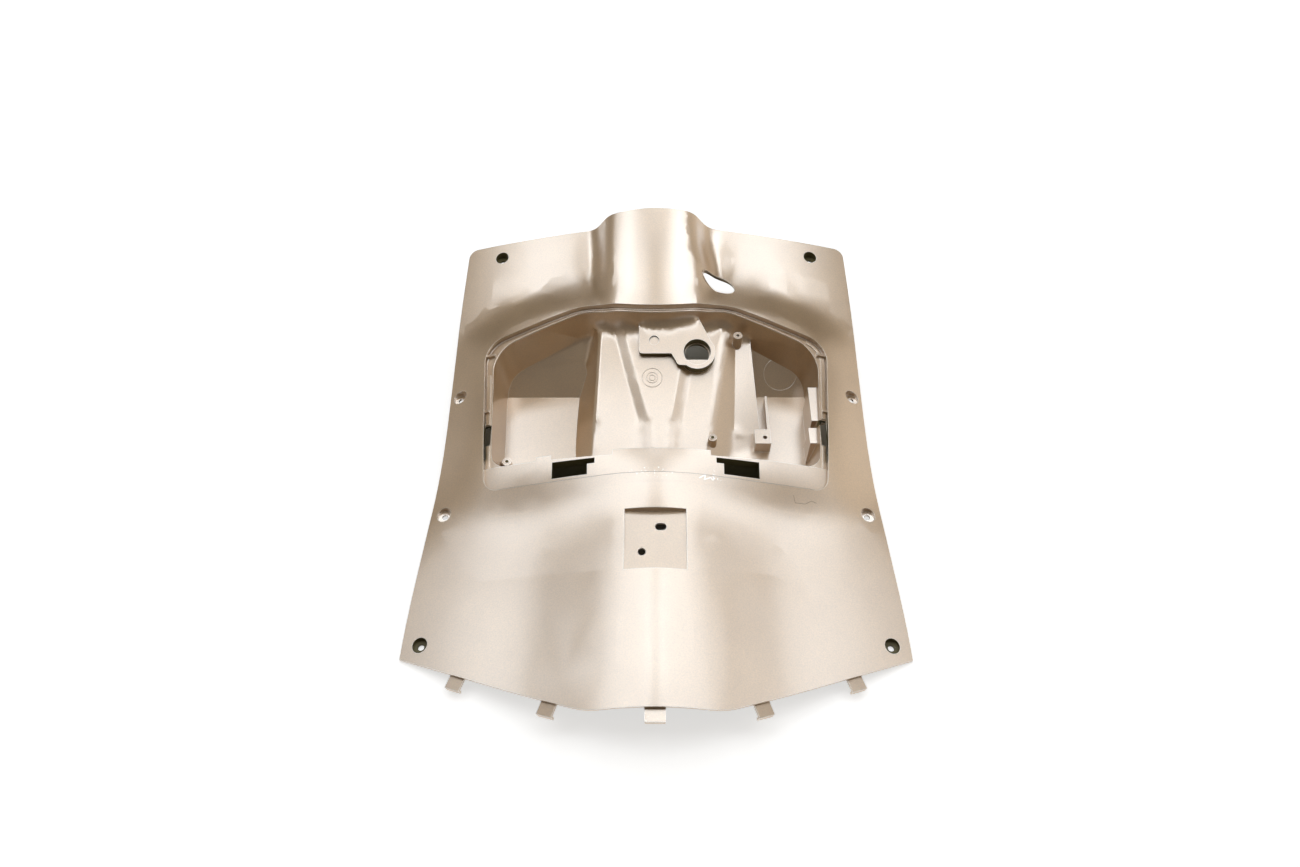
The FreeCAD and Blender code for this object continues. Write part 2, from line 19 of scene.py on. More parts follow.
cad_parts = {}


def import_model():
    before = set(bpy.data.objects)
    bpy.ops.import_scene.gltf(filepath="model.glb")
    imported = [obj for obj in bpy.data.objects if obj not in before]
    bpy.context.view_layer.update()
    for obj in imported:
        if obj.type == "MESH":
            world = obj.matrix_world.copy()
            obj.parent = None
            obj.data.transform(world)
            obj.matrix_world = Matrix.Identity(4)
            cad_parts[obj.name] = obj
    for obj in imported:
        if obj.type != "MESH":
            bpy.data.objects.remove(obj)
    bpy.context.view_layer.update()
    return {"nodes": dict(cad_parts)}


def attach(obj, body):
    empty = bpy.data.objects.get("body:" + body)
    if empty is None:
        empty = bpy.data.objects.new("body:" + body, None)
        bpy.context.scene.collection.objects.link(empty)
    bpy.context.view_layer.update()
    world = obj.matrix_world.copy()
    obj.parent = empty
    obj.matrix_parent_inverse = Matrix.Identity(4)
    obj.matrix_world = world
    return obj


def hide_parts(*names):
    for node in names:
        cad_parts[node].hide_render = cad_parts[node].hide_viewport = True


LOG = logging.getLogger("leg_shield")
BODY = "root"
NODE = "leg_shield"
MM = 0.001
ARC_POINTS = 13
RING_POINTS = 48
BEAD_POINTS = 10
WHITE = (1.0, 1.0, 1.0, 1.0)


class Layer(Enum):
    """Which face of the skin a triangle lies on, with its depth in millimetres and its sense."""

    PAINTED = (1, 0.0, 1.0)
    HIDDEN = (2, 2.4, -1.0)


def along(stations: list[tuple[float, float]], t: np.ndarray) -> np.ndarray:
    """Cubic through (position, value) stations with slopes from their neighbours.

    Each span is the Hermite cubic of its two values and two slopes, and beyond the first
    and last station the curve goes on straight.

    Args:
        stations: Positions in rising order, each with its value.
        t: Positions at which the curve is wanted.

    Returns:
        The curve's value at each t.
    """
    t = np.asarray(t, float)
    place = np.array([p for p, _ in stations], float)
    value = np.array([v for _, v in stations], float)
    order = np.arange(len(place))
    before, after = np.maximum(order - 1, 0), np.minimum(order + 1, len(place) - 1)
    slope = (value[after] - value[before]) / (place[after] - place[before])
    k = np.clip(np.searchsorted(place, t) - 1, 0, len(place) - 2)
    h = place[k + 1] - place[k]
    s = (t - place[k]) / h
    ends = (1 + 2 * s) * (1 - s) ** 2 * value[k] + s * s * (3 - 2 * s) * value[k + 1]
    inside = ends + s * (1 - s) ** 2 * h * slope[k] + s * s * (s - 1) * h * slope[k + 1]
    low = value[0] + slope[0] * (t - place[0])
    high = value[-1] + slope[-1] * (t - place[-1])
    return np.where(t < place[0], low, np.where(t > place[-1], high, inside))


def smooth(t: np.ndarray) -> np.ndarray:
    """Ease from 0 to 1 with level ends: 3t² − 2t³ on t held between 0 and 1."""
    t = np.clip(t, 0.0, 1.0)
    return t * t * (3 - 2 * t)


def evenly(line: np.ndarray, step: float) -> np.ndarray:
    """Points of a line again at even steps along its length."""
    far = np.concatenate([[0.0], np.cumsum(np.linalg.norm(np.diff(line, axis=0), axis=1))])
    want = np.linspace(0.0, far[-1], max(int(far[-1] / step), 2) + 1)
    return np.stack([np.interp(want, far, line[:, i]) for i in range(line.shape[1])], axis=-1)


def rounded(corners: tuple, step: float) -> np.ndarray:
    """Open outline whose inner corners are each turned by an arc of their own radius.

    An arc's middle lies on the corner's bisector, at the radius over the cosine of half the turn.

    Args:
        corners: x, y and radius of each corner in order; the two ends need no radius.
        step: Distance between points of the outline.

    Returns:
        Points of the outline, one row of x and y each.
    """
    line = [np.array([corners[0][:2]], float)]
    t = np.linspace(0.0, 1.0, ARC_POINTS)[:, None]
    for before, corner, after in zip(corners, corners[1:], corners[2:]):
        here, radius = np.array(corner[:2], float), corner[2]
        back, on = np.array(before[:2]) - here, np.array(after[:2]) - here
        back, on = back / np.linalg.norm(back), on / np.linalg.norm(on)
        turn = math.pi - math.acos(float(back @ on))
        middle = here + (back + on) / np.linalg.norm(back + on) * radius / math.cos(turn / 2)
        reach = radius * math.tan(turn / 2)
        start, end = here + back * reach - middle, here + on * reach - middle
        line.append(middle + (np.sin((1 - t) * turn) * start + np.sin(t * turn) * end) / math.sin(turn))
    line.append(np.array([corners[-1][:2]], float))
    return evenly(np.concatenate(line), step)


def inset(line: np.ndarray, by: object) -> np.ndarray:
    """Outline moved to its right-hand side by one distance, or by one for each point."""
    ahead = np.gradient(line, axis=0)
    ahead = ahead / np.linalg.norm(ahead, axis=1, keepdims=True)
    return line + np.stack([ahead[:, 1], -ahead[:, 0]], axis=-1) * np.reshape(by, (-1, 1))


def between(line: np.ndarray, start: tuple, end: tuple) -> np.ndarray:
    """Part of a line from its point nearest to one place to that nearest to another, seen from above."""
    first, last = (int(np.argmin(np.hypot(line[:, 0] - x, line[:, 1] - y))) for x, y in (start, end))
    return line[first : last + 1]


@dataclass(frozen=True)
class Plan:
    """Where the drawing's plan lies in the part's frame."""

    shift_y: float = -166.25
    shift_z: float = 0.11

    def place(self, x: np.ndarray, y: np.ndarray, z: np.ndarray) -> np.ndarray:
        """Points of the drawing, in millimetres, as frame points in metres."""
        return np.stack([x, y + self.shift_y, z + self.shift_z], axis=-1) * MM

    def read(self, points: np.ndarray) -> tuple[np.ndarray, np.ndarray, np.ndarray]:
        """Frame points in metres as the drawing's x, y and z in millimetres."""
        x, y, z = (points[..., i] / MM for i in range(3))
        return x, y - self.shift_y, z - self.shift_z


@dataclass(frozen=True)
class Skin:
    """The painted face as a height over the plan, in millimetres.

    Half widths, rises and shoulders are stations along y with their values. Shares are
    stations of the way inwards, from the side edge to the middle line, with theirs.
    """

    half_widths: tuple = (
        (-60, 201.0), (0, 196.6), (60, 192.6), (110, 187.4),
        (160, 183.2), (225, 182.0), (325, 180.2), (400, 177.0),
    )
    side_z: float = 2.4
    side_slope: float = 0.09
    side_curl: float = 0.00016
    rises: tuple = ((-60, 51.5), (60, 51.0), (125, 48.0), (200, 36.0), (250, 26.0), (300, 19.0), (400, 16.0))
    shares: tuple = ((0, 0), (0.235, 0.22), (0.49, 0.45), (0.673, 0.68), (0.816, 0.877), (0.9, 0.96), (1, 1))
    wing_power: float = 2.2
    ridge_ends_y: float = 60.0
    wings_start_y: float = 200.0
    shoulders: tuple = ((120, 0.0), (150, 6.0), (250, 6.5), (300, 9.0))
    shoulder_x: float = 147.0
    shoulder_width: float = 28.0
    shoulder_end_y: float = 302.0
    shoulder_bow: float = 0.0016
    shoulder_spread: float = 50.0
    collar_z: float = 79.0
    collar_y: float = 300.0
    collar_slope: float = 0.29
    collar_crown_r: float = 107.0
    collar_flank_x: float = 38.0
    collar_flank: float = 0.04
    collar_blend: float = 10.0
    collar_from_y: float = 150.0
    collar_drop: float = 40.0
    collar_drop_y: float = 170.0
    collar_drop_length: float = 60.0
    scoop_depth: float = 9.0
    scoop_y: float = 366.0
    scoop_length: float = 34.0
    slope_step: float = 0.25

    def height(self, x: np.ndarray, y: np.ndarray) -> np.ndarray:
        """Height of the painted face.

        A side edge that climbs with y, plus a rise to the middle that is a ridge near the foot
        and a pair of wings near the column, plus the shoulder round the glovebox. Where the
        collar's arch is higher, the arch is taken, and a fillet adds the square of what the gap
        between the two lacks to the blend's length, over four times that length.

        Args:
            x: Distance from the middle line.
            y: Distance from the foot of the bottom corners.

        Returns:
            The height at each point.
        """
        a = np.abs(x)
        side = self.side_z + self.side_slope * y + self.side_curl * y * y
        inward = 1 - a / along(list(self.half_widths), y)
        wing = 1 - np.maximum(1 - inward, 0.0) ** self.wing_power
        share = smooth((y - self.ridge_ends_y) / (self.wings_start_y - self.ridge_ends_y))
        rise = along(list(self.shares), inward) * (1 - share) + wing * share
        z = side + along(list(self.rises), y) * rise
        beside = 1 - smooth((a - self.shoulder_x) / self.shoulder_width)
        beyond = 1 - smooth((y - self.shoulder_end_y + self.shoulder_bow * a * a) / self.shoulder_spread)
        held_y = np.clip(y, self.shoulders[0][0], self.shoulders[-1][0])
        z = z + along(list(self.shoulders), held_y) * beside * beyond
        arch = self.arch(x, y)
        gap = np.abs(arch - z)
        blend = self.collar_blend
        fillet = np.where(gap < blend, (blend - gap) ** 2 / (4 * blend), 0.0)
        return np.where(y < self.collar_from_y, z, np.maximum(arch, z) + fillet)

    def arch(self, x: np.ndarray, y: np.ndarray) -> np.ndarray:
        """Height of the collar over the steering column.

        A parabola across with the crown's radius at its top, steeper past its flanks by the
        square of the way past them. The scoop brings the right-hand flank nearer to the
        middle, and below the collar the arch drops away.

        Args:
            x: Distance from the middle line.
            y: Distance from the foot of the bottom corners.

        Returns:
            The arch's height at each point.
        """
        scoop = self.scoop_depth * smooth(1 - np.abs(y - self.scoop_y) / self.scoop_length)
        flank = np.maximum(np.abs(x) - self.collar_flank_x + np.where(x > 0, scoop, 0.0), 0.0)
        crown = self.collar_z + self.collar_slope * (y - self.collar_y) - x * x / (2 * self.collar_crown_r)
        drop = self.collar_drop * (1 - smooth((y - self.collar_drop_y) / self.collar_drop_length))
        return crown - self.collar_flank * flank**2 - drop

    def normal(self, x: np.ndarray, y: np.ndarray) -> np.ndarray:
        """Upward unit normal, from the height's slopes over a step to each side."""
        step = self.slope_step
        dx = (self.height(x + step, y) - self.height(x - step, y)) / (2 * step)
        dy = (self.height(x, y + step) - self.height(x, y - step)) / (2 * step)
        n = np.stack([-dx, -dy, np.ones_like(dx)], axis=-1)
        return n / np.linalg.norm(n, axis=-1, keepdims=True)

    def under(self, x: np.ndarray, y: np.ndarray, depth: float) -> np.ndarray:
        """Height over (x, y) of the surface that lies a depth below the painted face."""
        return self.height(x, y) - depth / self.normal(x, y)[..., 2]


PLAN = Plan()
SKIN = Skin()


class Graph:
    """Short hand for building one node tree."""

    def __init__(self, tree: bpy.types.NodeTree) -> None:
        """Keep the tree that nodes are added to."""
        self.tree = tree

    def add(self, kind: str, **values: object) -> bpy.types.Node:
        """Add a node and set its sockets and settings.

        Args:
            kind: The node's type name without its Shader prefix.
            values: Settings by attribute name, or socket values and links by socket name,
                with underscores for spaces, or by i and the socket's number.

        Returns:
            The new node.
        """
        node = self.tree.nodes.new(kind if kind.startswith("Node") else "ShaderNode" + kind)
        for key, value in values.items():
            if hasattr(node, key):
                setattr(node, key, value)
                continue
            socket = node.inputs[int(key[1:])] if key[1:].isdigit() else node.inputs[key.replace("_", " ")]
            if isinstance(value, bpy.types.NodeSocket):
                self.tree.links.new(value, socket)
            else:
                socket.default_value = value
        return node

    def math(self, operation: str, a: object, b: object = 0.0, clamp: bool = False) -> bpy.types.NodeSocket:
        """One Math node's value."""
        return self.add("Math", operation=operation, use_clamp=clamp, i0=a, i1=b).outputs[0]

    def ramp(self, value: object, low: float, high: float) -> bpy.types.NodeSocket:
        """Smooth step of a value between two limits."""
        node = self.add("MapRange", interpolation_type="SMOOTHSTEP", Value=value, From_Min=low, From_Max=high)
        return node.outputs["Result"]

    def fade(self, value: object, low: float, high: float) -> bpy.types.NodeSocket:
        """One less the smooth step of a value between two limits."""
        return self.math("SUBTRACT", 1.0, self.ramp(value, low, high))

    def vector(self, operation: str, a: object, b: object) -> bpy.types.Node:
        """One Vector Math node on two vectors."""
        return self.add("VectorMath", operation=operation, i0=a, i1=b)

    def mix(self, factor: object, a: object, b: object) -> bpy.types.NodeSocket:
        """Colour that goes from a to b with the factor.

        A Mix node's colours are its inputs 6 and 7, and its output 2.
        """
        node = self.add("Mix", data_type="RGBA")
        for socket, value in ((node.inputs[0], factor), (node.inputs[6], a), (node.inputs[7], b)):
            if isinstance(value, bpy.types.NodeSocket):
                self.tree.links.new(value, socket)
            else:
                socket.default_value = value
        return node.outputs[2]

    def blend(self, factor: object, a: float, b: float) -> bpy.types.NodeSocket:
        """Value that goes from a to b with the factor."""
        return self.add("MapRange", Value=factor, To_Min=a, To_Max=b).outputs["Result"]


def new_group(name: str, inputs: dict[str, float | None], outputs: dict[str, str]) -> tuple:
    """Start a shader node group.

    Args:
        name: The group's name.
        inputs: Default value of each number socket, or None for a vector socket.
        outputs: Socket type of each output by name.

    Returns:
        The group's tree, its graph helper, its input node and its output node.
    """
    tree = bpy.data.node_groups.new(name, "ShaderNodeTree")
    for label, value in inputs.items():
        kind = "NodeSocketVector" if value is None else "NodeSocketFloat"
        socket = tree.interface.new_socket(name=label, in_out="INPUT", socket_type=kind)
        if value is not None:
            socket.default_value = value
    for label, kind in outputs.items():
        tree.interface.new_socket(name=label, in_out="OUTPUT", socket_type=kind)
    graph = Graph(tree)
    return tree, graph, graph.add("NodeGroupInput"), graph.add("NodeGroupOutput")


class SharedEffects:
    """Effects that a finish places with its own values, each a node group built once.

    Lengths are metres. A pair holds the two limits of a smooth step, or of a range.
    """

    flake_in_peel: float = 0.35
    scratch_break: float = 900.0
    scratch_widths: tuple = (0.3, 1.7)
    scratch_edge: tuple = (0.7, 1.3)
    groove_edge: tuple = (0.0001, 0.0005)
    groove_end: tuple = (-0.001, 0.002)
    fold_bow: tuple = (0.036, 0.108)
    fold_rise: float = 0.0130
    fold_below: float = -0.0207
    fold_edge: tuple = (-0.0016, 0.0016)
    fold_end: tuple = (0.118, 0.138)
    spot_reach: float = 0.3
    spot_edge: tuple = (0.66, 0.7)
    spot_start: tuple = (0.02, 0.2)

    def __init__(self) -> None:
        """Build the groups."""
        self.flake = self.make_flake()
        self.wear = self.make_wear()
        self.scratch = self.make_scratch()
        self.lines = self.make_lines()

    def make_flake(self) -> bpy.types.NodeTree:
        """Metal flake in paint: fine sparkle over slow clouds, and the paint's faint peel."""
        tree, g, source, out = new_group(
            "paint_flake",
            {"Place": None, "Flake Size": 0.0011, "Cloud Size": 0.05, "Peel Size": 0.004},
            {"Flake": "NodeSocketFloat", "Cloud": "NodeSocketFloat", "Height": "NodeSocketFloat"},
        )
        place = source.outputs["Place"]
        fine = g.math("DIVIDE", 1.0, source.outputs["Flake Size"])
        slow = g.math("DIVIDE", 1.0, source.outputs["Cloud Size"])
        peel = g.math("DIVIDE", 1.0, source.outputs["Peel Size"])
        flake = g.add("TexNoise", Vector=place, Scale=fine, Detail=2.0, Roughness=0.7).outputs[0]
        cloud = g.add("TexNoise", Vector=place, Scale=slow, Detail=3.0, Roughness=0.55).outputs[0]
        skin = g.add("TexNoise", Vector=place, Scale=peel, Detail=1.0, Roughness=0.4).outputs[0]
        height = g.math("ADD", g.math("MULTIPLY", flake, self.flake_in_peel), skin)
        for name, value in (("Flake", flake), ("Cloud", cloud), ("Height", height)):
            g.tree.links.new(value, out.inputs[name])
        return tree

    def make_scratch(self) -> bpy.types.NodeTree:
        """Mask of a straight scratch between two places, seen from above, with broken edges.

        The nearest place of the scratch is its start plus its direction times t, where t is
        the share of the way that the looked-at place lies along it, held between 0 and 1.
        """
        tree, g, source, out = new_group(
            "straight_scratch",
            {"Place": None, "From": None, "To": None, "Half Width": 0.0004},
            {"Mask": "NodeSocketFloat"},
        )
        place, start, end = (
            g.vector("MULTIPLY", source.outputs[name], (1.0, 1.0, 0.0)).outputs[0]
            for name in ("Place", "From", "To")
        )
        rough = g.add(
            "TexNoise", Vector=source.outputs["Place"], Scale=self.scratch_break, Detail=2.0
        ).outputs[0]
        off = g.vector("SUBTRACT", place, start).outputs[0]
        span = g.vector("SUBTRACT", end, start).outputs[0]
        along_span = g.vector("DOT_PRODUCT", off, span).outputs["Value"]
        square = g.vector("DOT_PRODUCT", span, span).outputs["Value"]
        t = g.math("DIVIDE", along_span, square, clamp=True)
        near = g.add("VectorMath", operation="SCALE", i0=span, Scale=t).outputs[0]
        away = g.vector("DISTANCE", off, near).outputs["Value"]
        width = g.math("MULTIPLY", source.outputs["Half Width"], g.blend(rough, *self.scratch_widths))
        inside = g.fade(g.math("DIVIDE", away, width), *self.scratch_edge)
        g.tree.links.new(inside, out.inputs["Mask"])
        return tree

    def make_lines(self) -> bpy.types.NodeTree:
        """Two moulded lines under the lid: the seam of its seat, and the panel's fold below it.

        The seam is a narrow groove along one y that ends near the opening's corners. The fold
        is a smooth step along a curve that bows up in the middle. It lowers what lies on the
        seam's side of it, and it fades out at both ends.
        """
        tree, g, source, out = new_group(
            "moulded_lines",
            {"Place": None, "Seam Y": -0.03625, "Seam Half": 0.128, "Groove": 0.0004, "Fold": 0.0005},
            {"Height": "NodeSocketFloat", "Groove": "NodeSocketFloat"},
        )
        spot = g.add("SeparateXYZ", Vector=source.outputs["Place"]).outputs
        across = g.math("ABSOLUTE", spot["X"])
        above = g.math("SUBTRACT", spot["Y"], source.outputs["Seam Y"])
        aside = g.math("SUBTRACT", across, source.outputs["Seam Half"])
        groove = g.fade(g.math("ABSOLUTE", above), *self.groove_edge)
        groove = g.math("MULTIPLY", groove, g.fade(aside, *self.groove_end))
        bow = g.math("MULTIPLY", g.fade(across, *self.fold_bow), self.fold_rise)
        curve = g.math("ADD", bow, self.fold_below)
        fold = g.ramp(g.math("SUBTRACT", above, curve), *self.fold_edge)
        fold = g.math("MULTIPLY", fold, g.fade(across, *self.fold_end))
        groove_depth = g.math("MULTIPLY", groove, source.outputs["Groove"])
        fold_depth = g.math("MULTIPLY", fold, source.outputs["Fold"])
        depth = g.math("ADD", groove_depth, fold_depth)
        g.tree.links.new(g.math("MULTIPLY", depth, -1.0), out.inputs["Height"])
        # The groove mask also sets the painted shade in the seam's groove.
        g.tree.links.new(groove, out.inputs["Groove"])
        return tree

    def make_wear(self) -> bpy.types.NodeTree:
        """Rubbed and chipped spots where a surface is worn, from 0 to 1."""
        tree, g, source, out = new_group(
            "rubbed_spots",
            {"Place": None, "Amount": 0.0, "Spot Size": 0.0025},
            {"Spots": "NodeSocketFloat"},
        )
        place, amount = source.outputs["Place"], source.outputs["Amount"]
        scale = g.math("DIVIDE", 1.0, source.outputs["Spot Size"])
        noise = g.add("TexNoise", Vector=place, Scale=scale, Detail=5.0, Roughness=0.65).outputs[0]
        level = g.math("ADD", noise, g.math("MULTIPLY", amount, self.spot_reach))
        spots = g.math("MULTIPLY", g.ramp(level, *self.spot_edge), g.ramp(amount, *self.spot_start))
        g.tree.links.new(spots, out.inputs["Spots"])
        return tree


@dataclass(frozen=True)
class PaintFinish:
    """Champagne metallic paint, and the bare plastic where the spray didn't reach.

    Radius, half widths and peel height are metres, and a scratch is its places on the plan.
    A pair holds the two limits of a smooth step, or of a range. The colour also holds a painted
    highlight along the edges and painted shade in the seam's groove.
    """

    name: str = "champagne_paint"
    paint: tuple = (0.600, 0.402, 0.200, 1.0)
    paint_deep: tuple = (0.530, 0.346, 0.165, 1.0)
    plastic: tuple = (0.135, 0.115, 0.045, 1.0)
    chip: tuple = (1.0, 0.98, 0.94, 1.0)
    # Colour of the painted highlight along edges.
    painted_edge_highlight: tuple = (1.0, 0.96, 0.90, 1.0)
    paint_rough: float = 0.50
    plastic_rough: float = 0.52
    metallic: float = 0.78
    pearl: float = 1.0
    pearl_ior: float = 4.6
    pearl_rough: float = 0.28
    cloud_edge: tuple = (0.3, 0.7)
    flake_values: tuple = (0.60, 1.40)
    mist: float = 0.5
    bare_edge: tuple = (0.3, 0.7)
    peel_strength: float = 0.12
    peel_height: float = 0.0001
    edge_radius: float = 0.0011
    edge_samples: int = 6
    edge_bend: tuple = (0.01, 0.12)
    edge_highlight_share: float = 0.95
    # Colour of the painted shade in the seam's groove, and of the grey scratch's real wear.
    groove_shade_and_scratch: tuple = (0.12, 0.08, 0.04, 1.0)
    groove_shade_share: float = 0.90
    white_scratch: tuple = ((35.1, 126.9), (39.8, 129.9), (38.8, 125.9), (43.8, 128.0), (45.5, 126.2))
    white_width: float = 0.0005
    grey_scratch: tuple = ((111.4, 123.0), (112.5, 117.6), (120.8, 117.7), (126.3, 120.7), (130.2, 119.6))
    grey_width: float = 0.00025
    grey_share: float = 0.55

    def scratches(
        self, g: Graph, group: bpy.types.NodeTree, place: object, marks: tuple, width: float
    ) -> bpy.types.NodeSocket:
        """Mask of a scratch through plan places on the skin: the most of its spans' masks.

        Args:
            g: The material's graph.
            group: The node group of one straight scratch.
            place: The looked-at place.
            marks: x and y of the scratch's ends and corners.
            width: Half the scratch's width in metres.

        Returns:
            The mask's socket.
        """
        mask: object = 0.0
        for start, end in zip(marks, marks[1:]):
            ends = [tuple(PLAN.place(np.array(x), np.array(y), np.array(0.0))) for x, y in (start, end)]
            span = g.add("Group", node_tree=group, Place=place, Half_Width=width)
            span.inputs["From"].default_value, span.inputs["To"].default_value = ends
            mask = g.math("MAXIMUM", mask, span.outputs["Mask"])
        return mask

    def edges(self, g: Graph) -> tuple[bpy.types.NodeSocket, bpy.types.NodeSocket]:
        """Make the edges' rounding and find where they are.

        The mask is one less the cosine of the angle between the rounded normal and the
        surface's own, stepped smoothly between two limits.

        Args:
            g: The material's graph.

        Returns:
            The normal with its edges rounded, and a mask of those edges, which sets their painted highlight.
        """
        rounded_normal = g.add("Bevel", samples=self.edge_samples, Radius=self.edge_radius).outputs[0]
        own = g.add("NewGeometry").outputs["Normal"]
        cosine = g.vector("DOT_PRODUCT", rounded_normal, own).outputs["Value"]
        return rounded_normal, g.ramp(g.math("SUBTRACT", 1.0, cosine), *self.edge_bend)

    def material(self, effects: SharedEffects) -> bpy.types.Material:
        """Build the material.

        The mesh attributes `bare` and `rubbed` say where plastic shows and where paint is worn.

        Args:
            effects: The shared node groups.

        Returns:
            The new material.
        """
        material = bpy.data.materials.new(self.name)
        material.use_nodes = True
        material.node_tree.nodes.clear()
        g = Graph(material.node_tree)
        place = g.add("TexCoord").outputs["Object"]
        flake = g.add("Group", node_tree=effects.flake, Place=place)
        rubbed = g.add("Attribute", attribute_name="rubbed").outputs["Fac"]
        wear = g.add("Group", node_tree=effects.wear, Place=place, Amount=rubbed)
        lines = g.add("Group", node_tree=effects.lines, Place=place)
        cloud = flake.outputs["Cloud"]
        mist = g.math("MULTIPLY", g.math("SUBTRACT", cloud, 0.5), self.mist)
        bare = g.add("Attribute", attribute_name="bare").outputs["Fac"]
        bare = g.ramp(g.math("ADD", bare, mist), *self.bare_edge)
        colour = g.mix(g.ramp(cloud, *self.cloud_edge), self.paint_deep, self.paint)
        sparkle = g.blend(flake.outputs["Flake"], *self.flake_values)
        colour = g.add("HueSaturation", Color=colour, Value=sparkle).outputs[0]
        colour = g.mix(wear.outputs["Spots"], colour, self.chip)
        colour = g.mix(bare, colour, self.plastic)
        white = self.scratches(g, effects.scratch, place, self.white_scratch, self.white_width)
        grey = self.scratches(g, effects.scratch, place, self.grey_scratch, self.grey_width)
        colour = g.mix(white, colour, self.chip)
        # Painted shade in the seam's groove, joined with the grey scratch's real darkening, both in one dark
        # colour.
        groove = g.math("MULTIPLY", lines.outputs["Groove"], self.groove_shade_share)
        groove_shade_and_scratch_mask = g.math("MAXIMUM", g.math("MULTIPLY", grey, self.grey_share), groove)
        colour = g.mix(groove_shade_and_scratch_mask, colour, self.groove_shade_and_scratch)
        covered = g.math("MAXIMUM", bare, groove_shade_and_scratch_mask)
        normal, edge = self.edges(g)
        # Painted highlight: on paint, edges are lightened in colour where the rounded normal bends away.
        painted_edge_highlight_mask = g.math("MULTIPLY", edge, g.blend(bare, self.edge_highlight_share, 0.0))
        colour = g.mix(painted_edge_highlight_mask, colour, self.painted_edge_highlight)
        folds = g.add("Bump", Strength=1.0, Distance=1.0, Height=lines.outputs["Height"], Normal=normal)
        bump = g.add(
            "Bump",
            Strength=self.peel_strength,
            Distance=self.peel_height,
            Height=flake.outputs["Height"],
            Normal=folds.outputs[0],
        )
        shader = g.add(
            "BsdfPrincipled",
            Base_Color=colour,
            Metallic=g.blend(covered, self.metallic, 0.0),
            Roughness=g.blend(bare, self.paint_rough, self.plastic_rough),
            Normal=bump.outputs[0],
            Coat_Weight=g.blend(covered, self.pearl, 0.0),
            Coat_Roughness=self.pearl_rough,
            Coat_IOR=self.pearl_ior,
        )
        out = g.add("OutputMaterial")
        g.tree.links.new(shader.outputs[0], out.inputs["Surface"])
        return material


